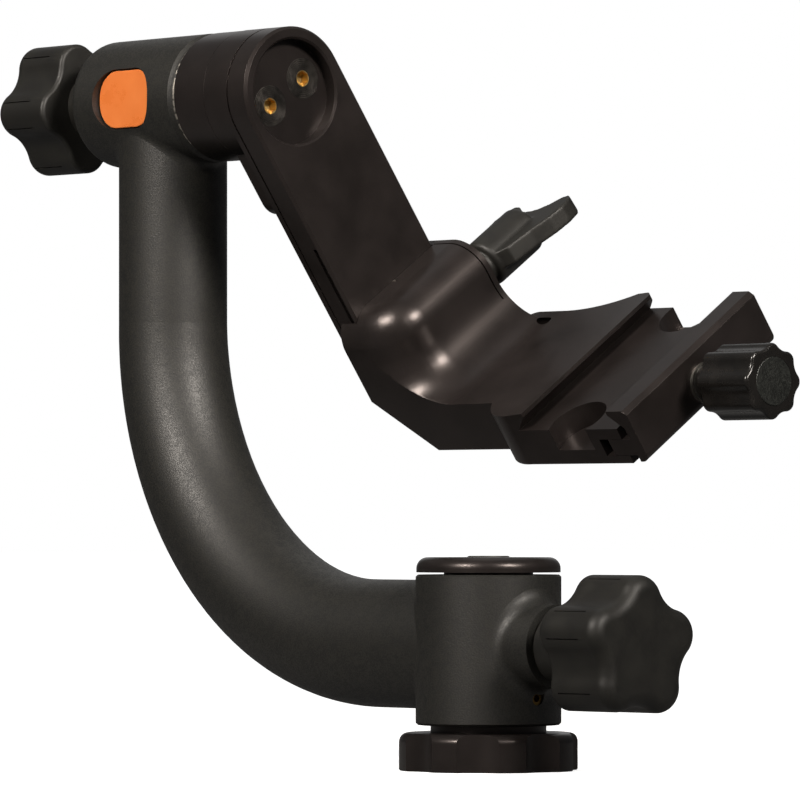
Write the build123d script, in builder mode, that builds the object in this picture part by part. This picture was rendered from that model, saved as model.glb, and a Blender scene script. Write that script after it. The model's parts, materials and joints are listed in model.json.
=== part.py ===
"""Gimbal tripod head: a C-shaped cast arm turns on a scalloped foot, and a swing arm with a
sliding dovetail clamp hangs from the barrel at the top of the casting.

Origin: centre of the foot's underside, on the pan axis. +Z is up along the pan axis and +X
runs along the tilt axis, from the barrel towards the lens clamp. Millimetres.
"""

import os
from math import cos, pi, radians, sin

from build123d import *

os.makedirs("parts", exist_ok=True)

# driving dimensions
running_gap = 0.05  # radial clearance of shafts, screws and balls
face_gap = 0.1  # clearance beside sliding flat faces
overcut = 1.0  # how far a cut runs past the face it starts from

# foot and pan stack
foot_diameter = 50.0
foot_height = 10.5
foot_rounding = 2.6
foot_edge = 0.4
scallop_count = 8
scallop_radius = 11.2
scallop_depth = 2.4
scallop_turn = -4.0
tripod_hole_diameter = 7.94  # minor diameter of 3/8"-16
tripod_stud_gap = 0.5  # round the stud above the thread
spindle_seat_depth = 2.0
spacer_diameter = 32.2
spacer_height = 1.9
body_diameter = 40.5
body_bottom = 12.6
body_height = 41.7
body_chamfer = 0.6
cap_gap = 0.6
cap_height = 4.2
cap_rounding = 3.1
cap_screw_head = 12.0
cap_screw_diameter = 6.0
cap_screw_length = 14.0
cap_screw_proud = 0.4
cap_screw_key = 5.0
cap_screw_key_depth = 2.6
cap_web = 1.2  # cap left under the screw's head
cap_setback = 0.2
foot_screw_spread = 14.2  # diameter of the circle they sit on
foot_screw_sink = 0.1
foot_screw_key = 2.0
foot_screw_key_depth = 1.4
foot_screw_diameter = 3.0
foot_screw_length = 16.0
brake_drum_diameter = 25.0
pan_bore_relief = 27.5
set_screw_diameter = 4.0
set_screw_height = 20.3
set_screw_sink = 0.5
set_screw_key = 2.0
set_screw_key_depth = 1.8

# bearings
pan_bearing_bore = 20.0
pan_bearing_outside = 32.0
pan_bearing_width = 7.0
pan_ball = 3.2
tilt_bearing_bore = 17.0
tilt_bearing_outside = 26.0
tilt_bearing_width = 5.0
tilt_ball = 2.6
ball_count = 14
bearing_setback = 1.0  # upper and front rings from the ends of their bores
race_reach = 0.6  # each ring stops this far from the ball circle
shoulder = 1.6  # height of the shoulders that locate the rings

# cast arm
arm_height = 34.6  # centre line of its lower run
arm_reach = 138.5  # pan axis to the centre line of the upright
arm_bend = 92.5
arm_top_radius = 15.9
arm_foot_radius = 18.1
arm_foot_blend = 1.5
arm_top_blend = 3.0

# tilt barrel
tilt_height = 192.6
barrel_diameter = 37.4
barrel_back = 25.9  # upright's centre line to the rear face
barrel_ahead = 21.6  # upright's centre line to the machined front face
barrel_rounding = 3.0
barrel_chamfer = 1.4
barrel_rear_wall = 3.0
tilt_washer_gap = 1.4
badge_length = 24.6
badge_width = 16.8
badge_corner = 7.9
badge_setback = 1.9  # badge's middle behind the upright's centre line
badge_depth = 3.1  # pocket floor below the barrel's crown
badge_thickness = 0.8
badge_clearance = 0.5

# hub disc, tilt spindle and swing arm
hub_disc_length = 14.0
hub_disc_chamfer = 0.4
tilt_stud_diameter = 10.0
tilt_stud_gap = 1.5  # round the stud in the barrel's rear wall
thread_clearance = 0.2
shaft_setback = 0.3
friction_washer_setback = 2.4
rest_angle = 35.0  # swing of the clamp away from hanging straight down
swing_width = 37.6
swing_thickness = 10.5
hub_thickness = 18.7
hub_boss_width = 30.8
hub_boss_end = 34.2  # tilt axis to the lower end of the rear boss
hub_boss_corner = 6.5
swing_end = 91.6  # tilt axis to the plate's lower end
swing_chamfer = 0.8
seam_depth = 7.8  # fine groove round the narrow side, behind the front face
seam_width = 0.7
seam_cut = 0.4
rail_top = 42.0  # tilt axis to the upper end of the slide grooves
rail_depth = 0.9
rail_width = 1.3
rail_setback = 1.1  # front face to the slide groove
hub_recess_diameter = 30.4
hub_recess_depth = 4.1
hub_recess_chamfer = 0.6
hub_screw_spacing = 14.8
hub_screw_head = 11.8
hub_screw_diameter = 6.0
hub_screw_length = 24.0
hub_screw_key = 4.0
hub_screw_key_depth = 2.8
stop_pin_diameter = 3.0
stop_pin_drop = 66.5
stop_pin_proud = 1.4
stop_pin_depth = 6.0

# sliding platform; a "drop" is a distance below the tilt axis, down the swing arm
block_top_drop = 65.0
ledge_drop = 94.0
platform_bottom_drop = 109.8
block_near = 22.4
block_far = 21.2
block_far_blend = 6.0
block_rear_lap = 6.7  # how far the cheeks reach back along the plate
block_front_reach = 16.8  # plate's front face to the block's front
block_rounding = 10.1
block_corner = 14.5
ledge_sweep = 14.4
rear_chamfer_drop = 92.5
rear_chamfer_foot = 11.7  # plate's front face to the lower edge of the chamfer
slit_width = 0.5
relief_diameter = 5.7
relief_drop = 95.9
relief_reach = 28.6  # this and the next ones: from the plate's front face
travel_up = 26.0
near_flare_from = 45.1
near_flare_to = 59.1
far_flare_from = 33.8
far_flare_to = 58.7
dish_far = 26.0
near_flare_radius = 14.0
far_flare_radius = 60.0
tongue_top_drop = 70.0
relief_shift = 1.2
cheek_clearance = 0.25

# lens clamp
clamp_length = 60.5
deck_far = 32.3  # from the plate's middle to the deck's far end
lip_tip_rounding = 2.6
lip_reach = 65.1
lip_drop = 92.6
lip_land = 1.2
dovetail_depth = 5.6
lip_gap = 34.8  # between the two lips at rest
jaw_thickness = 8.0
jaw_top_drop = 92.4
jaw_bottom_drop = 109.4
jaw_chamfer = 1.4
jaw_rounding = 2.6
jaw_travel = 3.2
deck_reach = 101.1
tenon_top_drop = 101.8
tenon_bottom_drop = 107.2
tenon_length = 12.0
tenon_reach = 95.3
near_pocket_reach = 80.7
near_pocket_y = -25.2
near_pocket_radius = 9.0
far_pocket_reach = 80.4
far_pocket_y = 29.6
far_pocket_radius = 10.4
pocket_drop = 105.1
clamp_screw_drop = 103.3
clamp_screw_diameter = 5.0
clamp_screw_depth = 16.0
spring_wire = 0.7
spring_radius = 3.2
spring_length = 7.5
spring_turns = 4

# star knobs
knob_tip = 19.9
knob_valley = 15.7
knob_lobe = 7.0
knob_lobes = 5
knob_length = 22.8
knob_face_rounding = 3.9
knob_back_rounding = 1.3
knob_line_length = 12.6
knob_line_width = 0.35
knob_line_depth = 0.5
knob_line_inset = 1.6
knob_line_angle = 35.0  # from a lobe's middle, about the lobe's own centre
pan_line_start = 3.2
knob_hub_diameter = 20.0
knob_insert_diameter = 13.0
knob_stud_diameter = 8.0
knob_stud_depth = 14.0
pan_knob_back = 41.2
pan_knob_turn = 16.0  # lobe direction, from +Y towards +Z
pan_boss_diameter = 23.2
pan_boss_end = 28.2
pan_boss_blend = 4.5
pan_pad_diameter = 8.0
pan_pad_length = 4.0
pan_pad_gap = 0.6  # pad to the spindle's drum when slack
stud_slack = 0.1
knob_hub_gap = 1.2  # boss to the knob's hub
tilt_knob_gap = 11.2  # barrel's rear face to the knob's lobes
tilt_stud_reach = 15.9  # spindle's thread inside the knob
tilt_knob_turn = 188.0
tilt_washer_thickness = 1.5
tilt_washer_diameter = 26.0
tilt_washer_play = 0.5

# clamp knob and wing knob
clamp_knob_tip = 10.7
clamp_knob_valley = 9.5
clamp_knob_lobe = 2.7
clamp_knob_lobes = 8
clamp_knob_turn = 10.0
clamp_knob_reach = 115.1
clamp_knob_length = 20.3
clamp_knob_rounding = 1.0
clamp_neck_diameter = 10.6
clamp_cap_diameter = 13.8
clamp_cap_depth = 0.8
clamp_cap_proud = 0.2
clamp_cap_rounding = 0.3
clamp_screw_cover = 2.0  # knob left over the screw's end
clamp_washer_diameter = 11.6
clamp_washer_thickness = 0.9
wing_reach = 8.6  # plate's front face to the wing knob's axis
wing_drop = 76.9
wing_washer_diameter = 12.0
wing_washer_thickness = 1.4
wing_neck_diameter = 10.5
wing_neck_length = 2.2
wing_barrel_diameter = 14.7
wing_barrel_length = 20.4
wing_profile = (  # one wing's outline: along the axis from the barrel's base, out from the axis
    (0.6, 0.0),
    (1.2, 7.0),
    (3.5, 10.2),
    (12.0, 12.6),
    (18.5, 15.4),
    (24.0, 16.2),
    (28.6, 15.2),
    (31.0, 12.8),
    (30.4, 10.2),
    (27.6, 7.0),
    (26.0, 3.5),
    (25.6, 0.0),
)
wing_thickness = 5.6
wing_turn = 7.0
wing_rounding = 1.6
wing_tip_rounding = 1.5
wing_screw_diameter = 5.0
wing_screw_depth = 26.0
wing_screw_cover = 5.0

# places worked out from them
spacer_top = foot_height + spacer_height
body_top = body_bottom + body_height
cap_bottom = body_top + cap_gap
cap_top = cap_bottom + cap_height
spindle_bottom = foot_height - spindle_seat_depth
lower_bearing = set_screw_height - pan_bearing_width / 2
drum_bottom = lower_bearing + pan_bearing_width
upper_bearing = body_top - bearing_setback - pan_bearing_width
pan_circle = (pan_bearing_bore + pan_bearing_outside) / 4
tilt_circle = (tilt_bearing_bore + tilt_bearing_outside) / 4
barrel_rear = -arm_reach - barrel_back
barrel_front = barrel_ahead - arm_reach
badge_middle = -arm_reach - badge_setback
tilt_knob_back = barrel_rear - tilt_knob_gap
tilt_stud_end = tilt_knob_back - tilt_stud_reach
front_bearing = barrel_front - bearing_setback - tilt_bearing_width
rear_bearing = barrel_rear + barrel_rear_wall
hub_disc_rear = barrel_front + tilt_washer_gap
hub_disc_front = hub_disc_rear + hub_disc_length
plate_front = hub_disc_front + hub_thickness
plate_rear = plate_front - swing_thickness
recess_floor = plate_front - hub_recess_depth
half_width = swing_width / 2
block_rear = plate_front - block_rear_lap
block_front = plate_front + block_front_reach
corner_x = block_front - block_corner
corner_y = block_corner - block_near
rear_chamfer_x = plate_front + rear_chamfer_foot
relief_end = plate_front + relief_reach
near_flare_start = plate_front + near_flare_from
near_flare_end = plate_front + near_flare_to
far_flare_start = plate_front + far_flare_from
far_flare_end = plate_front + far_flare_to
lip_x = plate_front + lip_reach
deck_end = plate_front + deck_reach
tenon_end = plate_front + tenon_reach
near_pocket_x = plate_front + near_pocket_reach
far_pocket_x = plate_front + far_pocket_reach
clamp_knob_back = plate_front + clamp_knob_reach
floor_drop = lip_drop + dovetail_depth
lip_run = dovetail_depth - lip_land
jaw_lip = lip_x + lip_gap
jaw_root = jaw_lip + lip_run
jaw_outer = jaw_lip + jaw_thickness
slot_half = half_width + face_gap
slit_end = slot_half + slit_width
half_clamp = clamp_length / 2
tenon_side = half_clamp - tenon_length
wing_x = plate_front + wing_reach
wing_neck = block_far + wing_washer_thickness + 2 * face_gap
wing_barrel = wing_neck + wing_neck_length

pan_axis = Plane(origin=(0, 0, 0), x_dir=(0, 0, 1), z_dir=(0, 1, 0))
pan_knob_axis = Plane(origin=(0, 0, arm_height), x_dir=(1, 0, 0), z_dir=(0, -1, 0))
set_screw_axis = Plane(origin=(0, 0, set_screw_height), x_dir=(1, 0, 0), z_dir=(0, -1, 0))
tilt_axis = Plane(origin=(0, 0, tilt_height), x_dir=(1, 0, 0), z_dir=(0, -1, 0))
swing = Plane(
    origin=(0, 0, tilt_height),
    x_dir=(1, 0, 0),
    z_dir=(0, -sin(radians(rest_angle)), cos(radians(rest_angle))),
)


def across(x, y=0.0, drop=0.0):
    """Plane square to the tilt axis: local x is the plate's width, local y is up the plate."""
    origin = swing.from_local_coords(Vector(x, y, -drop))
    return Plane(origin=origin, x_dir=swing.y_dir, z_dir=swing.x_dir)


def side(y, x=0.0, drop=0.0):
    """Plane facing the plate's far edge: local x is +X, local y runs down the plate."""
    origin = swing.from_local_coords(Vector(x, y, -drop))
    return Plane(origin=origin, x_dir=swing.x_dir, z_dir=swing.y_dir)


def level(drop, x=0.0, y=0.0):
    """Plane square to the plate's length: local x is +X, local y is the plate's width."""
    origin = swing.from_local_coords(Vector(x, y, -drop))
    return Plane(origin=origin, x_dir=swing.x_dir, z_dir=swing.z_dir)


def lengthwise(x, y, drop):
    """Plane with local x along +X through a point of the swing arm, for turned pieces."""
    origin = swing.from_local_coords(Vector(x, y, -drop))
    return Plane(origin=origin, x_dir=swing.x_dir, z_dir=swing.y_dir)


def widthwise(x, y, drop):
    """Plane with local x along the plate's width, for pieces turned about the wing knob."""
    origin = swing.from_local_coords(Vector(x, y, -drop))
    return Plane(origin=origin, x_dir=swing.y_dir, z_dir=swing.z_dir)


def turn(plane, points, mode=Mode.ADD):
    """Turned piece: half-section of (place along, radius) points about the plane's local x."""
    with BuildSketch(plane) as section:
        with BuildLine():
            Polyline(*points, close=True)
        make_face()
    revolve(section.sketch, axis=Axis(plane.origin, plane.x_dir), mode=mode)


def drum(plane, start, end, radius, mode=Mode.ADD):
    """Plain cylinder about the plane's local x."""
    turn(plane, [(start, 0), (end, 0), (end, radius), (start, radius)], mode)


def ring(plane, start, end, inner, outer, mode=Mode.ADD):
    """Plain ring about the plane's local x."""
    turn(plane, [(start, inner), (end, inner), (end, outer), (start, outer)], mode)


def ball_grooves(plane, starts, width, circle, ball):
    """Cut the ball grooves of a pair of bearings into the rings already there."""
    with BuildSketch(plane) as section:
        for start in starts:
            with Locations((start + width / 2, circle)):
                Circle(ball / 2 + running_gap)
    revolve(section.sketch, axis=Axis(plane.origin, plane.x_dir), mode=Mode.SUBTRACT)


def ball_rows(plane, starts, width, circle, ball):
    """Both rows of balls of a pair of bearings."""
    for start in starts:
        centre = plane.origin + plane.x_dir * (start + width / 2)
        with Locations(Plane(origin=centre, x_dir=plane.y_dir, z_dir=plane.x_dir)):
            with PolarLocations(circle, ball_count):
                Sphere(ball / 2)


def lobe_joint(count, tip, valley, lobe):
    """Radius and angle, from a lobe's middle, of the point where lobe and hollow meet."""
    centre = tip - lobe
    spread = centre * cos(pi / count)
    rise = valley**2 + centre**2 - 2 * valley * spread - lobe**2
    hollow = rise / (2 * (lobe - valley + spread))
    start = Vector(centre, 0)
    way = Vector(valley + hollow, 0).rotate(Axis.Z, 180 / count) - start
    point = start + way * (lobe / way.length)
    return point.length, point.get_signed_angle(Vector(1, 0), Vector(0, 0, -1))


def lobed(count, tip, valley, lobe, phase):
    """Closed outline of equal lobes joined by tangent hollows, in the open sketch."""
    reach, spread = lobe_joint(count, tip, valley, lobe)
    pitch = 360 / count

    def polar(radius, angle):
        return (radius * cos(radians(angle)), radius * sin(radians(angle)))

    with BuildLine() as edge:
        for index in range(count):
            middle = phase + pitch * index
            after = polar(reach, middle + spread)
            following = polar(reach, middle + pitch - spread)
            ThreePointArc(polar(reach, middle - spread), polar(tip, middle), after)
            ThreePointArc(after, polar(valley, middle + pitch / 2), following)
    make_face(edge.edges())


def knob_plane(x, z):
    """Plane square to +X in the base frame: local x is +Y, local y is +Z."""
    return Plane(origin=(x, 0, z), x_dir=(0, 1, 0), z_dir=(1, 0, 0))


def star_knob(z, back, facing, phase, line_start, hub_length):
    """Five-lobed moulded knob on an axis along X; facing +1 looks along +X, -1 along -X."""
    plane = knob_plane(back, z)
    with BuildSketch(plane) as star:
        lobed(knob_lobes, knob_tip, knob_valley, knob_lobe, phase)
    extrude(star.sketch, amount=facing * knob_length)
    ends = faces().sort_by(Axis.X)
    front = ends[-1] if facing > 0 else ends[0]
    rear = ends[0] if facing > 0 else ends[-1]
    fillet(front.edges(), knob_face_rounding)
    fillet(rear.edges(), knob_back_rounding)
    with BuildSketch(plane) as hub:
        Circle(knob_hub_diameter / 2)
    extrude(hub.sketch, amount=-facing * hub_length)
    # parting lines on the flanks of the lobes
    centre = knob_tip - knob_lobe
    with BuildSketch(plane.offset(facing * line_start)) as lines:
        for index in range(knob_lobes):
            middle = phase + 360 / knob_lobes * index
            for flank in (middle - knob_line_angle, middle + knob_line_angle):
                x = centre * cos(radians(middle)) + knob_lobe * cos(radians(flank))
                y = centre * sin(radians(middle)) + knob_lobe * sin(radians(flank))
                with Locations(Location((x, y), flank)):
                    Rectangle(2 * knob_line_depth, knob_line_width)
    extrude(lines.sketch, amount=facing * knob_line_length, mode=Mode.SUBTRACT)


def hex_socket(plane, across_flats, depth):
    """Hexagonal key socket sunk from the plane against its normal."""
    with BuildSketch(plane) as socket:
        RegularPolygon(across_flats / 2, 6, major_radius=False)
    extrude(socket.sketch, amount=-depth, mode=Mode.SUBTRACT)


def save(builder, name):
    """Label the piece and write its STEP file."""
    builder.part.label = name
    export_step(builder.part, f"parts/{name}.step")


# foot: tapped for the tripod stud, rounded at the top and scalloped for the hand
with BuildPart() as foot_disc:
    with BuildSketch(Plane.XY):
        Circle(foot_diameter / 2)
    extrude(amount=foot_height)
    fillet(foot_disc.faces().sort_by(Axis.Z)[-1].edges(), foot_rounding)
    chamfer(foot_disc.faces().sort_by(Axis.Z)[0].edges(), foot_edge)
    scallop_reach = foot_diameter / 2 - scallop_depth + scallop_radius
    with BuildSketch(Plane.XY):
        with PolarLocations(scallop_reach, scallop_count, start_angle=scallop_turn):
            Circle(scallop_radius)
    extrude(amount=foot_height, mode=Mode.SUBTRACT)
    seat_radius = pan_bearing_bore / 2 + running_gap
    drum(pan_axis, spindle_bottom, foot_height, seat_radius, Mode.SUBTRACT)
    drum(pan_axis, 0, spindle_bottom, tripod_hole_diameter / 2, Mode.SUBTRACT)
    with Locations(Plane(origin=(0, 0, 0), x_dir=(1, 0, 0), z_dir=(0, 0, -1))):
        with PolarLocations(foot_screw_spread / 2, 3):
            CounterSinkHole(
                radius=foot_screw_diameter / 2 + running_gap,
                counter_sink_radius=foot_screw_diameter,
                depth=foot_height,
                counter_sink_angle=90,
            )
save(foot_disc, "foot_disc")

# spindle: two bearing journals either side of the drum that the pan brake presses on
with BuildPart() as pan_spindle:
    journal = pan_bearing_bore / 2
    drum(pan_axis, spindle_bottom, cap_bottom - face_gap, journal)
    drum(pan_axis, drum_bottom, upper_bearing, brake_drum_diameter / 2)
    tripod_stud_room = tripod_hole_diameter / 2 + tripod_stud_gap
    stud_room_top = spindle_bottom + foot_height
    drum(pan_axis, spindle_bottom, stud_room_top, tripod_stud_room, Mode.SUBTRACT)
    cap_screw_end = cap_top - cap_screw_length
    drum(pan_axis, cap_screw_end - overcut, cap_bottom, cap_screw_diameter / 2, Mode.SUBTRACT)
    with BuildSketch(Plane.XY.offset(spindle_bottom)):
        with PolarLocations(foot_screw_spread / 2, 3, start_angle=0):
            Circle(foot_screw_diameter / 2)
    extrude(amount=foot_screw_length - spindle_bottom + overcut, mode=Mode.SUBTRACT)
save(pan_spindle, "pan_spindle")

with BuildPart() as foot_screws:
    for index in range(3):
        angle = radians(-120 * index)
        screw_x = foot_screw_spread / 2 * cos(angle)
        screw_y = foot_screw_spread / 2 * sin(angle)
        screw_axis = Plane(origin=(screw_x, screw_y, 0), x_dir=(0, 0, 1), z_dir=(0, 1, 0))
        foot_shank = foot_screw_diameter / 2
        foot_head = 2 * foot_shank - foot_screw_sink
        turn(
            screw_axis,
            [
                (foot_screw_sink, 0),
                (foot_screw_length, 0),
                (foot_screw_length, foot_shank),
                (foot_screw_sink + foot_head - foot_shank, foot_shank),
                (foot_screw_sink, foot_head),
            ],
        )
        bottom = Plane(
            origin=(screw_x, screw_y, foot_screw_sink), x_dir=(1, 0, 0), z_dir=(0, 0, -1)
        )
        hex_socket(bottom, foot_screw_key, foot_screw_key_depth)
save(foot_screws, "foot_screws")

# spacer between the foot and the lower inner ring
with BuildPart() as pan_spacer:
    ring(pan_axis, foot_height, spacer_top, journal + running_gap, spacer_diameter / 2)
    collar = pan_circle - race_reach
    ring(pan_axis, spacer_top, lower_bearing, journal + running_gap, collar)
save(pan_spacer, "pan_spacer")

with BuildPart() as pan_bearing_inner_rings:
    pan_starts = (lower_bearing, upper_bearing)
    for start in pan_starts:
        ring(pan_axis, start, start + pan_bearing_width, journal, pan_circle - race_reach)
    ball_grooves(pan_axis, pan_starts, pan_bearing_width, pan_circle, pan_ball)
save(pan_bearing_inner_rings, "pan_bearing_inner_rings")

with BuildPart() as pan_bearing_outer_rings:
    pan_seat = pan_bearing_outside / 2
    for start in pan_starts:
        ring(pan_axis, start, start + pan_bearing_width, pan_circle + race_reach, pan_seat)
    ball_grooves(pan_axis, pan_starts, pan_bearing_width, pan_circle, pan_ball)
save(pan_bearing_outer_rings, "pan_bearing_outer_rings")

with BuildPart() as pan_bearing_balls:
    ball_rows(pan_axis, pan_starts, pan_bearing_width, pan_circle, pan_ball)
save(pan_bearing_balls, "pan_bearing_balls")

# cap: turned disc whose collar clamps the upper inner ring
with BuildPart() as pan_cap:
    drum(pan_axis, cap_bottom, cap_top, body_diameter / 2 - cap_setback)
    fillet(pan_cap.faces().sort_by(Axis.Z)[-1].edges(), cap_rounding)
    collar_bottom = upper_bearing + pan_bearing_width
    ring(pan_axis, collar_bottom, cap_bottom, journal + running_gap, collar)
    head_depth = cap_height - cap_web
    head_room = cap_screw_head / 2 + running_gap
    drum(pan_axis, cap_top - head_depth, cap_top, head_room, Mode.SUBTRACT)
    shank_room = cap_screw_diameter / 2 + running_gap
    drum(pan_axis, cap_bottom, cap_top, shank_room, Mode.SUBTRACT)
save(pan_cap, "pan_cap")

with BuildPart() as pan_cap_screw:
    drum(pan_axis, cap_top - head_depth, cap_top + cap_screw_proud, cap_screw_head / 2)
    chamfer(pan_cap_screw.faces().sort_by(Axis.Z)[-1].edges(), cap_screw_proud)
    drum(pan_axis, cap_screw_end, cap_top - head_depth, cap_screw_diameter / 2)
    hex_socket(Plane.XY.offset(cap_top + cap_screw_proud), cap_screw_key, cap_screw_key_depth)
save(pan_cap_screw, "pan_cap_screw")

# casting: pan body, curved tube, pan knob boss and tilt barrel in one piece
with BuildPart() as cast_arm:
    drum(pan_axis, body_bottom, body_top, body_diameter / 2)
    chamfer(cast_arm.edges().group_by(Axis.Z)[-1], body_chamfer)
    chamfer(cast_arm.edges().group_by(Axis.Z)[0], body_chamfer)
    bend_x = -(arm_reach - arm_bend)
    with BuildSketch(Plane(origin=(0, 0, arm_height), x_dir=(0, 1, 0), z_dir=(-1, 0, 0))):
        Circle(arm_foot_radius)
    extrude(amount=-bend_x)
    with BuildLine(Plane.XZ):
        bend = CenterArc((bend_x, arm_height + arm_bend), arm_bend, -90, -90)
    with BuildSketch(Plane(origin=(bend_x, 0, arm_height), x_dir=(0, 1, 0), z_dir=(-1, 0, 0))):
        Circle(arm_foot_radius)
    bend_top = arm_height + arm_bend
    with BuildSketch(Plane(origin=(-arm_reach, 0, bend_top), x_dir=(0, 1, 0), z_dir=(0, 0, 1))):
        Circle(arm_top_radius)
    sweep(path=bend, multisection=True)
    with BuildSketch(Plane(origin=(-arm_reach, 0, bend_top), x_dir=(0, 1, 0), z_dir=(0, 0, 1))):
        Circle(arm_top_radius)
    extrude(amount=tilt_height - bend_top)
    barrel_radius = barrel_diameter / 2
    with BuildSketch(tilt_axis):
        with BuildLine():
            Polyline(
                (barrel_rear + barrel_rounding, barrel_radius),
                (barrel_front - barrel_chamfer, barrel_radius),
                (barrel_front, barrel_radius - barrel_chamfer),
                (barrel_front, 0),
                (barrel_rear, 0),
                (barrel_rear, barrel_radius - barrel_rounding),
            )
            RadiusArc(
                (barrel_rear, barrel_radius - barrel_rounding),
                (barrel_rear + barrel_rounding, barrel_radius),
                barrel_rounding,
            )
        make_face()
    revolve(axis=Axis(tilt_axis.origin, tilt_axis.x_dir))
    drum(pan_knob_axis, 0, pan_boss_end, pan_boss_diameter / 2)
    # cast blends where the boss, the tube and the barrel meet
    joins = cast_arm.edges().filter_by(GeomType.BSPLINE)
    fillet([join for join in joins if join.bounding_box().min.X > 0], pan_boss_blend)
    joins = cast_arm.edges().filter_by(GeomType.BSPLINE)
    foot_join = [
        join
        for join in joins
        if join.bounding_box().min.X > bend_x / 2 and join.bounding_box().max.X < 0
    ]
    fillet(foot_join, arm_foot_blend)
    joins = cast_arm.edges().filter_by(GeomType.BSPLINE)
    fillet([join for join in joins if join.bounding_box().min.Z > bend_top + 1], arm_top_blend)
    # pan bore, open at both ends, with shoulders for the outer rings
    drum(pan_axis, body_bottom, drum_bottom, pan_seat, Mode.SUBTRACT)
    drum(pan_axis, drum_bottom, upper_bearing, pan_bore_relief / 2, Mode.SUBTRACT)
    drum(pan_axis, upper_bearing, body_top, pan_seat, Mode.SUBTRACT)
    pad_room = pan_pad_diameter / 2 + running_gap
    drum(pan_knob_axis, 0, pan_boss_end, pad_room, Mode.SUBTRACT)
    screw_room = set_screw_diameter / 2
    drum(set_screw_axis, 0, body_diameter / 2 + overcut, screw_room, Mode.SUBTRACT)
    # barrel bore, open at the front
    tilt_seat = tilt_bearing_outside / 2
    drum(tilt_axis, rear_bearing, barrel_front, tilt_seat, Mode.SUBTRACT)
    stud_clearance = tilt_stud_diameter / 2 + tilt_stud_gap
    drum(tilt_axis, barrel_rear, rear_bearing, stud_clearance, Mode.SUBTRACT)
    # pocket for the badge
    badge_floor = badge_depth - barrel_radius
    with BuildSketch(
        Plane(origin=(badge_middle, badge_floor, tilt_height), x_dir=(1, 0, 0), z_dir=(0, -1, 0))
    ):
        RectangleRounded(
            badge_length + 2 * badge_clearance,
            badge_width + 2 * badge_clearance,
            badge_corner + badge_clearance,
        )
    extrude(amount=badge_depth + overcut, mode=Mode.SUBTRACT)
save(cast_arm, "cast_arm")

with BuildPart() as pan_set_screw:
    screw_end = body_diameter / 2 - set_screw_sink
    drum(set_screw_axis, pan_seat, screw_end, set_screw_diameter / 2)
    screw_face = knob_plane(screw_end, set_screw_height)
    hex_socket(screw_face, set_screw_key, set_screw_key_depth)
save(pan_set_screw, "pan_set_screw")

with BuildPart() as badge_plate:
    with BuildSketch(
        Plane(origin=(badge_middle, badge_floor, tilt_height), x_dir=(1, 0, 0), z_dir=(0, -1, 0))
    ):
        RectangleRounded(badge_length, badge_width, badge_corner)
    extrude(amount=badge_thickness)
    fillet(badge_plate.faces().sort_by(Axis.Y)[0].edges(), badge_thickness / 2)
save(badge_plate, "badge_plate")

# pan lock: the knob's stud drives the pad against the spindle's drum
with BuildPart() as pan_brake_pad:
    pad_start = brake_drum_diameter / 2 + pan_pad_gap
    pad_end = pad_start + pan_pad_length
    drum(pan_knob_axis, pad_start, pad_end, pan_pad_diameter / 2)
save(pan_brake_pad, "pan_brake_pad")

with BuildPart() as pan_knob_stud:
    stud_end = pan_knob_back + knob_stud_depth
    stud_radius = knob_stud_diameter / 2 - stud_slack
    drum(pan_knob_axis, pad_end + face_gap, stud_end, stud_radius)
save(pan_knob_stud, "pan_knob_stud")

with BuildPart() as pan_knob:
    pan_hub = pan_knob_back - pan_boss_end - knob_hub_gap
    star_knob(arm_height, pan_knob_back, 1, pan_knob_turn, pan_line_start, pan_hub)
    hub_start = pan_knob_back - pan_hub
    drum(pan_knob_axis, hub_start, stud_end, stud_radius, Mode.SUBTRACT)
save(pan_knob, "pan_knob")

# tilt spindle: hub disc, shaft for the two bearings and threaded end for the tilt knob
with BuildPart() as tilt_spindle:
    hub_shoulder = front_bearing + tilt_bearing_width
    shaft = tilt_bearing_bore / 2
    shaft_end = rear_bearing + shaft_setback
    thread = tilt_stud_diameter / 2
    turn(
        tilt_axis,
        [
            (hub_disc_front, 0),
            (hub_disc_front, barrel_radius - hub_disc_chamfer),
            (hub_disc_front - hub_disc_chamfer, barrel_radius),
            (hub_disc_rear + hub_disc_chamfer, barrel_radius),
            (hub_disc_rear, barrel_radius - hub_disc_chamfer),
            (hub_disc_rear, shaft + shoulder),
            (hub_shoulder, shaft + shoulder),
            (hub_shoulder, shaft),
            (shaft_end, shaft),
            (shaft_end, thread),
            (tilt_stud_end, thread),
            (tilt_stud_end, 0),
        ],
    )
    hub_hole = hub_screw_length - (hub_thickness - hub_recess_depth)
    with BuildSketch(across(hub_disc_front)):
        with Locations((-hub_screw_spacing / 2, 0), (hub_screw_spacing / 2, 0)):
            Circle(hub_screw_diameter / 2)
    extrude(amount=-hub_hole - overcut, mode=Mode.SUBTRACT)
save(tilt_spindle, "tilt_spindle")

# friction washer between the barrel's machined face and the hub disc
with BuildPart() as tilt_friction_washer:
    washer_outer = barrel_radius - friction_washer_setback
    washer_inner = shaft + shoulder + thread_clearance
    washer_rear = barrel_front + face_gap
    ring(tilt_axis, washer_rear, hub_disc_rear, washer_inner, washer_outer)
save(tilt_friction_washer, "tilt_friction_washer")

with BuildPart() as tilt_bearing_inner_rings:
    tilt_starts = (front_bearing, rear_bearing)
    for start in tilt_starts:
        ring(tilt_axis, start, start + tilt_bearing_width, shaft, tilt_circle - race_reach)
    ball_grooves(tilt_axis, tilt_starts, tilt_bearing_width, tilt_circle, tilt_ball)
save(tilt_bearing_inner_rings, "tilt_bearing_inner_rings")

with BuildPart() as tilt_bearing_outer_rings:
    for start in tilt_starts:
        ring(tilt_axis, start, start + tilt_bearing_width, tilt_circle + race_reach, tilt_seat)
    ball_grooves(tilt_axis, tilt_starts, tilt_bearing_width, tilt_circle, tilt_ball)
save(tilt_bearing_outer_rings, "tilt_bearing_outer_rings")

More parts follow.
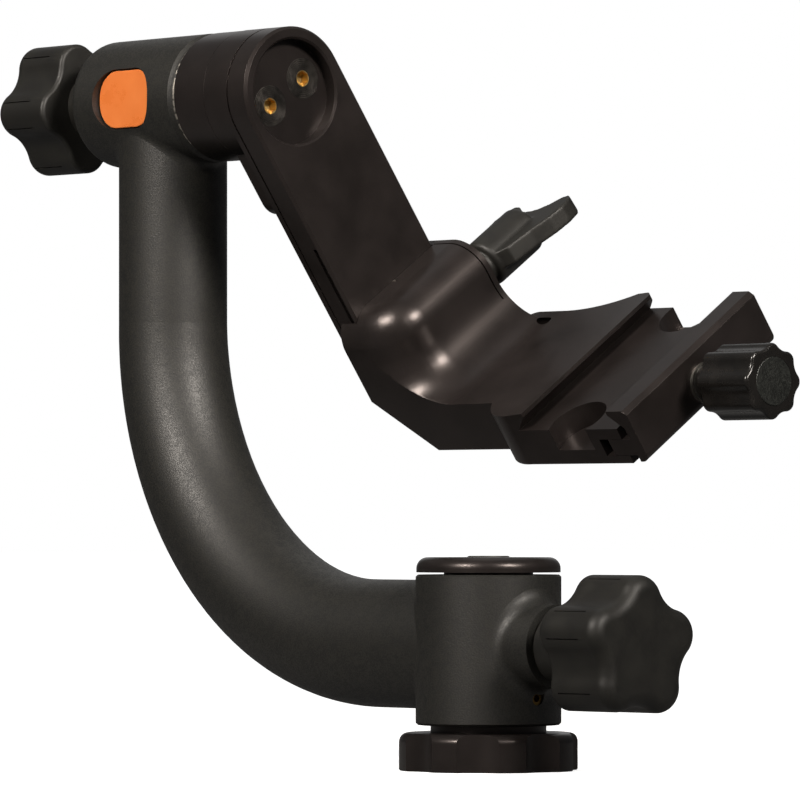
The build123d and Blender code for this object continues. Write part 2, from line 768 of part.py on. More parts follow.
with BuildPart() as tilt_bearing_balls:
    ball_rows(tilt_axis, tilt_starts, tilt_bearing_width, tilt_circle, tilt_ball)
save(tilt_bearing_balls, "tilt_bearing_balls")

# sleeve that keeps the two inner rings apart
with BuildPart() as tilt_bearing_spacer:
    sleeve_start = rear_bearing + tilt_bearing_width
    ring(tilt_axis, sleeve_start, front_bearing, shaft + running_gap, tilt_circle - race_reach)
save(tilt_bearing_spacer, "tilt_bearing_spacer")


def swing_shape(reach, mode=Mode.ADD):
    """Outline of the plate grown or shrunk to a half width of reach, in the open sketch."""
    length = swing_end + reach - half_width
    Circle(reach, mode=mode)
    with Locations((0, -length / 2)):
        Rectangle(2 * reach, length, mode=mode)


# swing arm: straight plate with a round hub end and a boss behind the hub
with BuildPart() as swing_arm:
    with BuildSketch(across(plate_front)):
        swing_shape(half_width)
    extrude(amount=-swing_thickness)
    chamfer(swing_arm.faces().sort_by(Axis.X)[-1].edges(), swing_chamfer)
    with BuildSketch(across(plate_rear)) as boss:
        with Locations((0, -hub_boss_end / 2)):
            Rectangle(hub_boss_width, hub_boss_end)
        fillet(boss.vertices().group_by(Axis.Y)[0], hub_boss_corner)
        Circle(half_width)
    extrude(amount=swing_thickness - hub_thickness)
    turn(
        tilt_axis,
        [
            (recess_floor, 0),
            (plate_front + overcut, 0),
            (plate_front + overcut, hub_recess_diameter / 2 + hub_recess_chamfer + overcut),
            (plate_front - hub_recess_chamfer, hub_recess_diameter / 2),
            (recess_floor, hub_recess_diameter / 2),
        ],
        Mode.SUBTRACT,
    )
    with Locations(across(recess_floor)):
        with Locations((-hub_screw_spacing / 2, 0), (hub_screw_spacing / 2, 0)):
            CounterSinkHole(
                radius=hub_screw_diameter / 2 + running_gap,
                counter_sink_radius=hub_screw_head / 2 + running_gap,
                depth=hub_thickness,
                counter_sink_angle=90,
            )
    with BuildSketch(across(plate_front - seam_depth)):
        swing_shape(half_width + overcut)
        swing_shape(half_width - seam_cut, Mode.SUBTRACT)
    extrude(amount=-seam_width, mode=Mode.SUBTRACT)
    # grooves that the platform's cheeks slide in
    rail_length = swing_end - rail_top
    with BuildSketch(across(plate_front - rail_setback)):
        rail_y = half_width - rail_depth / 2
        with Locations((-rail_y, -rail_top - rail_length / 2), (rail_y, -rail_top - rail_length / 2)):
            Rectangle(rail_depth, rail_length)
    extrude(amount=-rail_width, mode=Mode.SUBTRACT)
    with BuildSketch(across(plate_front)):
        with Locations((0, -stop_pin_drop)):
            Circle(stop_pin_diameter / 2)
    extrude(amount=-stop_pin_depth, mode=Mode.SUBTRACT)
save(swing_arm, "swing_arm")

with BuildPart() as hub_screws:
    for screw_y in (-hub_screw_spacing / 2, hub_screw_spacing / 2):
        screw_axis = lengthwise(0, screw_y, 0)
        hub_shank = hub_screw_diameter / 2
        hub_head = hub_screw_head / 2
        head_end = recess_floor - hub_head + hub_shank
        turn(
            screw_axis,
            [
                (recess_floor, 0),
                (recess_floor, hub_head),
                (head_end, hub_shank),
                (recess_floor - hub_screw_length, hub_shank),
                (recess_floor - hub_screw_length, 0),
            ],
        )
        hex_socket(across(recess_floor, screw_y), hub_screw_key, hub_screw_key_depth)
save(hub_screws, "hub_screws")

with BuildPart() as stop_pin:
    with BuildSketch(across(plate_front - stop_pin_depth)):
        with Locations((0, -stop_pin_drop)):
            Circle(stop_pin_diameter / 2)
    extrude(amount=stop_pin_depth + stop_pin_proud)
save(stop_pin, "stop_pin")

# tilt lock: knob on the spindle's thread, bearing on the barrel's rear wall
with BuildPart() as tilt_lock_washer:
    washer_end = barrel_rear - tilt_washer_play
    washer_start = washer_end - tilt_washer_thickness
    thread_room = thread + thread_clearance
    washer_edge = tilt_washer_diameter / 2
    ring(tilt_axis, washer_start, washer_end, thread_room, washer_edge)
save(tilt_lock_washer, "tilt_lock_washer")

with BuildPart() as tilt_knob_insert:
    insert_end = tilt_knob_back - knob_stud_depth
    ring(tilt_axis, insert_end, washer_start, thread + running_gap, knob_insert_diameter / 2)
save(tilt_knob_insert, "tilt_knob_insert")

with BuildPart() as tilt_knob:
    tilt_hub = washer_start - tilt_knob_back
    line_place = knob_length - knob_line_inset - knob_line_length - knob_face_rounding / 2
    star_knob(tilt_height, tilt_knob_back, -1, tilt_knob_turn, line_place, tilt_hub)
    drum(tilt_axis, insert_end, washer_start, knob_insert_diameter / 2, Mode.SUBTRACT)
    drum(tilt_axis, tilt_stud_end - overcut, insert_end, thread_room, Mode.SUBTRACT)
save(tilt_knob, "tilt_knob")


def shoulder_section(reach_back):
    """Section of the block against distance from its middle: rounded top, wall, sweep, ledge."""
    top = block_top_drop
    wall = block_corner
    with BuildLine() as edge:
        Polyline((reach_back, top), (wall - block_rounding, top))
        RadiusArc((wall - block_rounding, top), (wall, top + block_rounding), -block_rounding)
        Polyline((wall, top + block_rounding), (wall, ledge_drop - ledge_sweep))
        RadiusArc((wall, ledge_drop - ledge_sweep), (wall + ledge_sweep, ledge_drop), ledge_sweep)
        Polyline(
            (wall + ledge_sweep, ledge_drop),
            (wall + ledge_sweep, platform_bottom_drop),
            (reach_back, platform_bottom_drop),
            (reach_back, top),
        )
    make_face(edge.edges())


# platform: clamping block, dished deck and the fixed half of the lens clamp in one piece
with BuildPart() as clamp_platform:
    # deck and fixed lip
    with BuildSketch(side(0)):
        with BuildLine():
            Polyline((corner_x, ledge_drop), (far_flare_start, ledge_drop))
            TangentArc((far_flare_start, ledge_drop), (lip_x, lip_drop), tangent=(1, 0))
            Polyline(
                (lip_x, lip_drop),
                (lip_x, lip_drop + lip_land),
                (lip_x - lip_run, floor_drop),
                (deck_end, floor_drop),
                (deck_end, platform_bottom_drop),
                (corner_x, platform_bottom_drop),
                (corner_x, ledge_drop),
            )
        make_face()
    extrude(amount=deck_far, both=True)
    with BuildSketch(level(platform_bottom_drop)):
        with BuildLine():
            Polyline(
                (near_flare_start, -block_near),
                (corner_x, -block_near),
                (corner_x, block_far),
                (block_front, block_far),
            )
            RadiusArc(
                (block_front, block_far),
                (block_front + dish_far - block_far, dish_far),
                block_far_blend,
            )
            Polyline(
                (block_front + dish_far - block_far, dish_far),
                (far_flare_start, dish_far),
            )
            RadiusArc((far_flare_start, dish_far), (far_flare_end, deck_far), -far_flare_radius)
            Polyline(
                (far_flare_end, deck_far),
                (deck_end, deck_far),
                (deck_end, -half_clamp),
                (near_flare_end, -half_clamp),
            )
            RadiusArc(
                (near_flare_end, -half_clamp),
                (near_flare_start, -block_near),
                near_flare_radius,
            )
        make_face()
    extrude(amount=platform_bottom_drop - lip_drop, mode=Mode.INTERSECT)
    # rounded far tip of the fixed lip
    with BuildSketch(level(lip_drop)):
        with Locations((lip_x, deck_far)):
            Rectangle(lip_tip_rounding, lip_tip_rounding, align=(Align.MAX, Align.MAX))
        with Locations((lip_x - lip_tip_rounding, deck_far - lip_tip_rounding)):
            Circle(lip_tip_rounding, mode=Mode.SUBTRACT)
    extrude(amount=lip_drop - floor_drop, mode=Mode.SUBTRACT)
    # block: front, near corner and near side
    with BuildSketch(side(corner_y, corner_x)):
        shoulder_section(block_rear - corner_x)
    extrude(amount=block_far - corner_y)
    with BuildSketch(side(corner_y, corner_x)):
        shoulder_section(0)
    corner_point = swing.from_local_coords(Vector(corner_x, corner_y, 0))
    revolve(axis=Axis(corner_point, -swing.z_dir), revolution_arc=90)
    with BuildSketch(Plane(origin=corner_point, x_dir=-swing.y_dir, z_dir=swing.x_dir)):
        shoulder_section(0)
    extrude(amount=block_rear - corner_x)
    block_depth = platform_bottom_drop - block_top_drop
    with BuildSketch(level(block_top_drop)):
        with Locations((block_rear, -block_near)):
            Rectangle(near_flare_start - block_rear, half_clamp, align=(Align.MIN, Align.MAX))
    extrude(amount=-block_depth, mode=Mode.SUBTRACT)
    with BuildSketch(side(0)):
        with BuildLine():
            Polyline(
                (block_rear - overcut, rear_chamfer_drop),
                (block_rear, rear_chamfer_drop),
                (rear_chamfer_x, platform_bottom_drop),
                (rear_chamfer_x, platform_bottom_drop + overcut),
                (block_rear - overcut, platform_bottom_drop + overcut),
                close=True,
            )
        make_face()
    extrude(amount=half_clamp, both=True, mode=Mode.SUBTRACT)
    # slot for the plate, with a tongue on each cheek
    slot_front = plate_front + face_gap
    with BuildSketch(level(block_top_drop)):
        with Locations((block_rear, 0)):
            Rectangle(slot_front - block_rear, 2 * slot_half, align=(Align.MIN, Align.CENTER))
    extrude(amount=-block_depth, mode=Mode.SUBTRACT)
    tongue_front = plate_front - rail_setback - face_gap
    tongue_tip = half_width - rail_depth + face_gap
    with BuildSketch(level(tongue_top_drop)):
        for facing in (-1, 1):
            with Locations((tongue_front, facing * (slot_half + tongue_tip) / 2)):
                Rectangle(
                    rail_width - 2 * face_gap,
                    slot_half - tongue_tip,
                    align=(Align.MAX, Align.CENTER),
                )
    extrude(amount=tongue_top_drop - rear_chamfer_drop)
    # slit and relief hole that let the far cheek spring in
    with BuildSketch(level(block_top_drop)):
        with Locations((plate_front, slot_half)):
            Rectangle(block_front + overcut - plate_front, slit_width, align=(Align.MIN, Align.MIN))
    extrude(amount=block_top_drop - relief_drop, mode=Mode.SUBTRACT)
    relief_axis = lengthwise(0, slit_end + relief_shift, relief_drop)
    drum(relief_axis, block_rear, relief_end, relief_diameter / 2, Mode.SUBTRACT)
    with Locations(swing.from_local_coords(Vector(relief_end, slit_end + relief_shift, -relief_drop))):
        Sphere(relief_diameter / 2, mode=Mode.SUBTRACT)
    # room for the stop pin
    with BuildSketch(across(plate_front)):
        with Locations((0, -stop_pin_drop - travel_up / 2)):
            SlotCenterToCenter(travel_up, stop_pin_diameter + 2 * face_gap, rotation=90)
    extrude(amount=stop_pin_proud + 2 * face_gap, mode=Mode.SUBTRACT)
    # tapped hole of the wing screw and its clearance through the far cheek
    wing_axis = widthwise(wing_x, 0, wing_drop)
    wing_thread = wing_screw_diameter / 2
    wing_hole_end = block_far - wing_screw_depth - overcut
    drum(wing_axis, wing_hole_end, slot_half, wing_thread + running_gap, Mode.SUBTRACT)
    drum(wing_axis, slit_end, block_far, wing_thread + cheek_clearance, Mode.SUBTRACT)
    # finger pockets
    with BuildSketch(level(pocket_drop)):
        with Locations((near_pocket_x, near_pocket_y)):
            Circle(near_pocket_radius)
        with Locations((far_pocket_x, far_pocket_y)):
            Circle(far_pocket_radius)
    extrude(amount=pocket_drop - floor_drop, mode=Mode.SUBTRACT)
    # slots for the jaw's tenons, bore for the spring, tapped hole for the clamp screw
    tenon_slot = tenon_end - jaw_travel - 3 * face_gap
    tenon_middle = (tenon_top_drop + tenon_bottom_drop) / 2
    tenon_room = tenon_bottom_drop - tenon_top_drop + 2 * face_gap
    with BuildSketch(level(tenon_middle)):
        for facing in (-1, 1):
            with Locations((tenon_slot, facing * half_clamp)):
                Rectangle(
                    deck_end - tenon_slot,
                    tenon_length + face_gap,
                    align=(Align.MIN, Align.MAX if facing > 0 else Align.MIN),
                )
    extrude(amount=tenon_room / 2, both=True, mode=Mode.SUBTRACT)
    clamp_axis = lengthwise(0, 0, clamp_screw_drop)
    clamp_thread = clamp_screw_diameter / 2
    spring_bore = jaw_root - spring_length - jaw_travel - 3 * face_gap
    spring_room = spring_radius + spring_wire / 2 + 2 * face_gap
    drum(clamp_axis, spring_bore, deck_end, spring_room, Mode.SUBTRACT)
    clamp_hole = deck_end - clamp_screw_depth - jaw_travel - overcut
    drum(clamp_axis, clamp_hole, deck_end, clamp_thread + running_gap, Mode.SUBTRACT)
save(clamp_platform, "clamp_platform")

# moving jaw with two tenons
with BuildPart() as moving_jaw:
    with BuildSketch(side(0)) as jaw_section:
        with BuildLine():
            Polyline(
                (jaw_lip, jaw_top_drop),
                (jaw_lip, lip_drop + lip_land),
                (jaw_root, floor_drop),
                (jaw_root, jaw_bottom_drop),
                (jaw_outer, jaw_bottom_drop),
                (jaw_outer, jaw_top_drop),
                close=True,
            )
        make_face()
        chamfer(jaw_section.vertices().group_by(Axis.X)[-1].sort_by(Axis.Y)[0], jaw_chamfer)
        fillet(jaw_section.vertices().group_by(Axis.X)[-1].sort_by(Axis.Y)[-1], jaw_rounding)
    extrude(amount=half_clamp, both=True)
    with BuildSketch(level(tenon_middle)):
        for facing in (-1, 1):
            with Locations((tenon_end, facing * half_clamp)):
                Rectangle(
                    jaw_root - tenon_end,
                    tenon_length,
                    align=(Align.MIN, Align.MAX if facing > 0 else Align.MIN),
                )
    extrude(amount=(tenon_bottom_drop - tenon_top_drop) / 2, both=True)
    drum(clamp_axis, jaw_root, jaw_outer, clamp_thread + running_gap, Mode.SUBTRACT)
save(moving_jaw, "moving_jaw")

# spring round the clamp screw that opens the jaw
with BuildPart() as jaw_spring:
    coil_length = spring_length - spring_wire
    coil_start = Vector(jaw_root - spring_wire / 2, 0, -clamp_screw_drop)
    with BuildLine() as coil:
        Helix(
            pitch=coil_length / spring_turns,
            height=coil_length,
            radius=spring_radius,
            center=swing.from_local_coords(coil_start),
            direction=-swing.x_dir,
        )
    with BuildSketch(Plane(origin=coil.edges()[0] @ 0, z_dir=coil.edges()[0] % 0)):
        Circle(spring_wire / 2)
    sweep(path=coil.edges()[0])
save(jaw_spring, "jaw_spring")

with BuildPart() as clamp_screw:
    clamp_screw_end = clamp_knob_back + clamp_knob_length - clamp_cap_depth - clamp_screw_cover
    drum(clamp_axis, deck_end - clamp_screw_depth, clamp_screw_end, clamp_thread)
save(clamp_screw, "clamp_screw")

with BuildPart() as clamp_washer:
    clamp_washer_end = jaw_outer + clamp_washer_thickness
    clamp_washer_edge = clamp_washer_diameter / 2
    clamp_screw_room = clamp_thread + running_gap
    ring(clamp_axis, jaw_outer, clamp_washer_end, clamp_screw_room, clamp_washer_edge)
save(clamp_washer, "clamp_washer")

# eight-lobed knob with a plain neck and a textured cap let into its end
with BuildPart() as clamp_knob:
    knob_face = clamp_knob_back + clamp_knob_length
    with BuildSketch(across(clamp_knob_back, 0, clamp_screw_drop)):
        lobed(
            clamp_knob_lobes, clamp_knob_tip, clamp_knob_valley, clamp_knob_lobe, clamp_knob_turn
        )
    extrude(amount=clamp_knob_length)
    fillet(clamp_knob.faces().sort_by(Axis.X)[-1].edges(), clamp_knob_rounding)
    fillet(clamp_knob.faces().sort_by(Axis.X)[0].edges(), clamp_knob_rounding)
    drum(clamp_axis, clamp_washer_end, clamp_knob_back, clamp_neck_diameter / 2)
    drum(clamp_axis, clamp_washer_end, clamp_screw_end, clamp_thread, Mode.SUBTRACT)
    cap_edge = clamp_cap_diameter / 2
    drum(clamp_axis, knob_face - clamp_cap_depth, knob_face, cap_edge, Mode.SUBTRACT)
save(clamp_knob, "clamp_knob")

with BuildPart() as clamp_knob_cap:
    cap_face = knob_face + clamp_cap_proud
    drum(clamp_axis, knob_face - clamp_cap_depth, cap_face, cap_edge - running_gap)
    fillet(clamp_knob_cap.faces().sort_by(Axis.X)[-1].edges(), clamp_cap_rounding)
save(clamp_knob_cap, "clamp_knob_cap")

# wing knob that springs the far cheek against the plate
with BuildPart() as wing_washer:
    washer_face = block_far + 2 * face_gap
    wing_washer_edge = wing_washer_diameter / 2
    ring(wing_axis, washer_face, wing_neck, wing_thread + cheek_clearance, wing_washer_edge)
save(wing_washer, "wing_washer")

with BuildPart() as wing_screw:
    wing_screw_end = wing_barrel + wing_barrel_length - wing_screw_cover
    drum(wing_axis, block_far - wing_screw_depth, wing_screw_end, wing_thread)
save(wing_screw, "wing_screw")

with BuildPart() as wing_knob:
    wing_radius = wing_barrel_diameter / 2
    drum(wing_axis, wing_barrel, wing_barrel + wing_barrel_length, wing_radius)
    fillet(wing_knob.edges(), wing_rounding)
    drum(wing_axis, wing_neck, wing_barrel + wing_rounding, wing_neck_diameter / 2)
    lean = radians(wing_turn)
    wing_plane = Plane(
        origin=wing_axis.origin,
        x_dir=swing.y_dir,
        z_dir=swing.z_dir * cos(lean) - swing.x_dir * sin(lean),
    )
    for facing in (-1, 1):
        with BuildSketch(wing_plane) as wing:
            with BuildLine():
                outline = [(wing_barrel + along, facing * out) for along, out in wing_profile]
                Polyline(*outline, close=True)
            make_face()
            outer = wing.vertices().sort_by(lambda corner: abs(corner.Y))[-5:]
            fillet(outer, wing_tip_rounding)
        extrude(amount=wing_thickness / 2, both=True)
    drum(wing_axis, wing_neck, wing_screw_end, wing_thread, Mode.SUBTRACT)
save(wing_knob, "wing_knob")
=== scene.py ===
import bpy, bmesh, json, math
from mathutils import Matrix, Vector


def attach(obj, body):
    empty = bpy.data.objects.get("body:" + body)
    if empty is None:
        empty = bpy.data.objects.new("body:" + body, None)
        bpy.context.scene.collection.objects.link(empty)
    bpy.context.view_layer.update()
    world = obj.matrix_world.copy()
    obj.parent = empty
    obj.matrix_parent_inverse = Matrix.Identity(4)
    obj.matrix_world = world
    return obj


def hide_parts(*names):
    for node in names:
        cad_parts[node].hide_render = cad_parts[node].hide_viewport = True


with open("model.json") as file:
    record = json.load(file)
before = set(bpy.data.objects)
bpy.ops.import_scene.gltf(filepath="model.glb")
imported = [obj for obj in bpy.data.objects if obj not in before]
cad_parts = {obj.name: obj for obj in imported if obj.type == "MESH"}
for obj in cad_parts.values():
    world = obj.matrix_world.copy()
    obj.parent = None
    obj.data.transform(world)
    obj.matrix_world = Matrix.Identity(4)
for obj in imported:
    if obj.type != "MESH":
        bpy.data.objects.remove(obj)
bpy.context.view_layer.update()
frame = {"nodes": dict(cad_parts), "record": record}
nodes = frame["nodes"]
mm = 0.001

# where the camera stands, as a direction from the pan axis, and the level direction across its view
cameraAzimuth = math.radians(48.0)
towardCamera = Vector((math.sin(cameraAzimuth), -math.cos(cameraAzimuth), 0.0))
acrossView = Vector((math.cos(cameraAzimuth), math.sin(cameraAzimuth), 0.0))
white = (1.0, 1.0, 1.0, 1.0)


def linear(hexColour):
    values = [int(hexColour[i:i + 2], 16) / 255 for i in (1, 3, 5)]
    return [v / 12.92 if v <= 0.04045 else ((v + 0.055) / 1.055) ** 2.4 for v in values] + [1.0]


def addNode(tree, kind, settings, links):
    node = tree.nodes.new(kind)
    for name, value in settings.items():
        if isinstance(name, int) or name in node.inputs:
            node.inputs[name].default_value = value
        else:
            setattr(node, name, value)
    for name, output in links.items():
        tree.links.new(output, node.inputs[name])
    return node


mottleRange = 0.2  # share of the noise either side of its middle that goes from dark to light


def newMaterial(name, spec):
    material = bpy.data.materials.new(name)
    material.use_nodes = True
    tree = material.node_tree
    shader = tree.nodes["Principled BSDF"]
    shader.inputs["Metallic"].default_value = spec["metallic"]
    shader.inputs["Specular Tint"].default_value = linear(spec["sheen"])
    shader.inputs["Specular IOR Level"].default_value = spec["mirror"]
    place = addNode(tree, "ShaderNodeTexCoord", {}, {}).outputs["Object"]
    cloud = addNode(tree, "ShaderNodeTexNoise", {"Scale": 1 / (spec["cloud"] * mm), "Detail": 4},
                    {"Vector": place})
    grain = addNode(tree, "ShaderNodeTexNoise", {"Scale": 1 / (spec["grain"] * mm), "Detail": 2},
                    {"Vector": place})
    mottle = addNode(tree, "ShaderNodeMath", {"operation": "MULTIPLY_ADD", 1: spec["grainShare"]},
                     {0: grain.outputs["Fac"], 2: cloud.outputs["Fac"]})
    middle = 0.5 + 0.5 * spec["grainShare"]
    spread = addNode(tree, "ShaderNodeMapRange",
                     {"From Min": middle - mottleRange, "From Max": middle + mottleRange},
                     {"Value": mottle.outputs["Value"]}).outputs["Result"]
    colour = addNode(tree, "ShaderNodeMix",
                     {"data_type": "RGBA", 6: linear(spec["dark"]), 7: linear(spec["light"])},
                     {0: spread}).outputs[2]
    tree.links.new(colour, shader.inputs["Base Color"])
    rough = addNode(tree, "ShaderNodeMapRange", {"To Min": spec["rough"][0], "To Max": spec["rough"][1]},
                    {"Value": spread}).outputs["Result"]
    tree.links.new(rough, shader.inputs["Roughness"])
    bump = addNode(tree, "ShaderNodeBump", {"Strength": 1.0, "Distance": spec["depth"] * mm},
                   {"Height": grain.outputs["Fac"]}).outputs["Normal"]
    tree.links.new(bump, shader.inputs["Normal"])
    return material, {"tree": tree, "shader": shader, "place": place, "colour": colour, "bump": bump}


# sizes in mm; sheen tints the mirror part of the light and mirror scales it, 0.5 being the plain
# material; grainShare is how much of the fine grain shows as colour
finishes = {
    # bead-blasted, anodised and dyed black: satin, faintly brown in the light
    "anodised_aluminium": ("blackAnodisedAluminium", {
        "dark": "#181514", "light": "#211D1C", "rough": (0.28, 0.35), "metallic": 0.0, "sheen": "#FFF2EE",
        "mirror": 0.5, "cloud": 14.0, "grain": 0.22, "grainShare": 0.6, "depth": 0.010}),
    # polyester powder coat on the casting: fine hard pebbles
    "powder_coat": ("texturedPowderCoat", {
        "dark": "#0F0F0D", "light": "#23221E", "rough": (0.56, 0.46), "metallic": 0.0, "sheen": "#FFFFFF",
        "mirror": 0.62, "cloud": 2.4, "grain": 0.42, "grainShare": 2.4, "depth": 0.05}),
    # glass-filled nylon from an eroded mould: matte grey-black
    "moulded_plastic": ("mouldedNylon", {
        "dark": "#151412", "light": "#1F1E1A", "rough": (0.46, 0.56), "metallic": 0.0, "sheen": "#FFFFFF",
        "mirror": 0.5, "cloud": 8.0, "grain": 0.3, "grainShare": 0.8, "depth": 0.014}),
    # unfilled nylon of the friction washers and the brake pad
    "nylon": ("turnedNylon", {
        "dark": "#191918", "light": "#201F1E", "rough": (0.40, 0.50), "metallic": 0.0, "sheen": "#FFFFFF",
        "mirror": 0.5, "cloud": 6.0, "grain": 0.5, "grainShare": 0.3, "depth": 0.005}),
    # ABS with a semi-gloss moulded skin
    "gloss_plastic": ("semiGlossAbs", {
        "dark": "#141312", "light": "#1B1917", "rough": (0.22, 0.30), "metallic": 0.0, "sheen": "#FFFFFF",
        "mirror": 0.5, "cloud": 6.0, "grain": 0.5, "grainShare": 0.3, "depth": 0.004}),
    # passivated stainless steel, turned
    "stainless_steel": ("turnedStainlessSteel", {
        "dark": "#A5A29B", "light": "#C2BFB8", "rough": (0.24, 0.36), "metallic": 1.0, "sheen": "#FFFFFF",
        "mirror": 0.5, "cloud": 3.0, "grain": 0.25, "grainShare": 0.4, "depth": 0.004}),
    "bright_aluminium": ("turnedAluminium", {
        "dark": "#C2C1BE", "light": "#D2D1CE", "rough": (0.28, 0.40), "metallic": 1.0, "sheen": "#FFFFFF",
        "mirror": 0.5, "cloud": 3.0, "grain": 0.25, "grainShare": 0.4, "depth": 0.004}),
    "bearing_steel": ("groundBearingSteel", {
        "dark": "#B9B9BA", "light": "#C9C9CA", "rough": (0.12, 0.20), "metallic": 1.0, "sheen": "#FFFFFF",
        "mirror": 0.5, "cloud": 3.0, "grain": 0.2, "grainShare": 0.4, "depth": 0.002}),
    "brass": ("turnedBrass", {
        "dark": "#5E4A28", "light": "#8F7442", "rough": (0.28, 0.42), "metallic": 1.0, "sheen": "#FFFFFF",
        "mirror": 0.5, "cloud": 1.2, "grain": 0.25, "grainShare": 0.6, "depth": 0.004}),
    # orange enamel filled flush into the badge
    "orange_badge": ("orangeEnamel", {
        "dark": "#E07736", "light": "#EA8443", "rough": (0.25, 0.32), "metallic": 0.0, "sheen": "#FFFFFF",
        "mirror": 0.5, "cloud": 9.0, "grain": 0.4, "grainShare": 0.2, "depth": 0.003}),
}
# finishes of single pieces, over the finish of their slot
single = {
    # black-oxide screw faces with rings from the lathe; the broached sockets are left bright
    "hub_screws": ("blackOxideSteel", {
        "dark": "#4A4744", "light": "#5E5A56", "rough": (0.30, 0.40), "metallic": 1.0, "sheen": "#FFFFFF",
        "mirror": 0.5, "cloud": 2.0, "grain": 0.2, "grainShare": 0.4, "depth": 0.004}),
    # stippled cap let into the clamp knob
    "clamp_knob_cap": ("stippledNylonCap", {
        "dark": "#141513", "light": "#232522", "rough": (0.34, 0.46), "metallic": 0.0, "sheen": "#FFFFFF",
        "mirror": 0.6, "cloud": 2.0, "grain": 0.45, "grainShare": 2.0, "depth": 0.10}),
}
paints = {slot: newMaterial(*finish) for slot, finish in {**finishes, **single}.items()}
print("materials", len(paints))

# bare cast metal shows where the mouth of the barrel was faced off after coating
bareRim = {"from": -117.25, "to": -116.85, "edge": 0.15, "above": 170.0,
           "patch": 1.6, "bareBelow": 0.40, "bareAbove": 0.54, "metal": "#A9A49B"}
coat = paints["powder_coat"][1]
tree = coat["tree"]
spot = addNode(tree, "ShaderNodeSeparateXYZ", {}, {"Vector": coat["place"]}).outputs
wear = addNode(tree, "ShaderNodeTexNoise", {"Scale": 1 / (bareRim["patch"] * mm), "Detail": 2},
               {"Vector": coat["place"]}).outputs["Fac"]
near = addNode(tree, "ShaderNodeMapRange", {
    "From Min": bareRim["from"] * mm, "From Max": (bareRim["from"] + bareRim["edge"]) * mm},
    {"Value": spot["X"]})
far = addNode(tree, "ShaderNodeMath", {"operation": "LESS_THAN", 1: bareRim["to"] * mm}, {0: spot["X"]})
high = addNode(tree, "ShaderNodeMath", {"operation": "GREATER_THAN", 1: bareRim["above"] * mm},
               {0: spot["Z"]})
worn = addNode(tree, "ShaderNodeMapRange",
               {"From Min": bareRim["bareBelow"], "From Max": bareRim["bareAbove"]}, {"Value": wear})
rim = near.outputs["Result"]
for limit in (far.outputs["Value"], high.outputs["Value"], worn.outputs["Result"]):
    rim = addNode(tree, "ShaderNodeMath", {"operation": "MULTIPLY"}, {0: rim, 1: limit}).outputs["Value"]
colour = addNode(tree, "ShaderNodeMix", {"data_type": "RGBA", 7: linear(bareRim["metal"])},
                 {0: rim, 6: coat["colour"]})
tree.links.new(colour.outputs[2], coat["shader"].inputs["Base Color"])
tree.links.new(rim, coat["shader"].inputs["Metallic"])
print("bare rim")

# the two hub screws: fine rings turned round each head, a bright zinc-yellow socket in its middle
hubScrew = {"height": 192.6, "lean": 35.0, "spread": 7.4, "ring": 0.55, "ringDepth": 0.02,
            "socket": 2.35, "socketColour": "#D9B877"}
steel = paints["hub_screws"][1]
tree = steel["tree"]
lean = math.radians(hubScrew["lean"])
centred = addNode(tree, "ShaderNodeVectorMath",
                  {"operation": "SUBTRACT", 1: (0, 0, hubScrew["height"] * mm)},
                  {0: steel["place"]}).outputs["Vector"]
across = addNode(tree, "ShaderNodeVectorMath",
                 {"operation": "DOT_PRODUCT", 1: (0, math.cos(lean), math.sin(lean))},
                 {0: centred}).outputs["Value"]
down = addNode(tree, "ShaderNodeVectorMath",
               {"operation": "DOT_PRODUCT", 1: (0, math.sin(lean), -math.cos(lean))},
               {0: centred}).outputs["Value"]
across = addNode(tree, "ShaderNodeMath", {"operation": "ABSOLUTE"}, {0: across}).outputs["Value"]
across = addNode(tree, "ShaderNodeMath", {"operation": "SUBTRACT", 1: hubScrew["spread"] * mm},
                 {0: across}).outputs["Value"]
flat = addNode(tree, "ShaderNodeCombineXYZ", {}, {"X": across, "Y": down}).outputs["Vector"]
out = addNode(tree, "ShaderNodeVectorMath", {"operation": "LENGTH"}, {0: flat}).outputs["Value"]
wave = addNode(tree, "ShaderNodeMath",
               {"operation": "MULTIPLY", 1: 2 * math.pi / (hubScrew["ring"] * mm)},
               {0: out}).outputs["Value"]
wave = addNode(tree, "ShaderNodeMath", {"operation": "SINE"}, {0: wave}).outputs["Value"]
rings = addNode(tree, "ShaderNodeBump", {"Strength": 1.0, "Distance": hubScrew["ringDepth"] * mm},
                {"Height": wave, "Normal": steel["bump"]})
tree.links.new(rings.outputs["Normal"], steel["shader"].inputs["Normal"])
socket = addNode(tree, "ShaderNodeMath", {"operation": "LESS_THAN", 1: hubScrew["socket"] * mm},
                 {0: out}).outputs["Value"]
colour = addNode(tree, "ShaderNodeMix", {"data_type": "RGBA", 7: linear(hubScrew["socketColour"])},
                 {0: socket, 6: steel["colour"]})
tree.links.new(colour.outputs[2], steel["shader"].inputs["Base Color"])
print("hub screws")

bodies = frame["record"]["behaviour"]["bodies"]
bodyOf = {node: body for body, names in bodies.items() for node in names}
slotOf = {part["node"]: part["material_slot"] for part in frame["record"]["subparts"]}
for name, slot in slotOf.items():
    piece = nodes[name]
    piece.data.materials.clear()
    piece.data.materials.append(paints[name if name in single else slot][0])

mergeDistance = 0.002 * mm


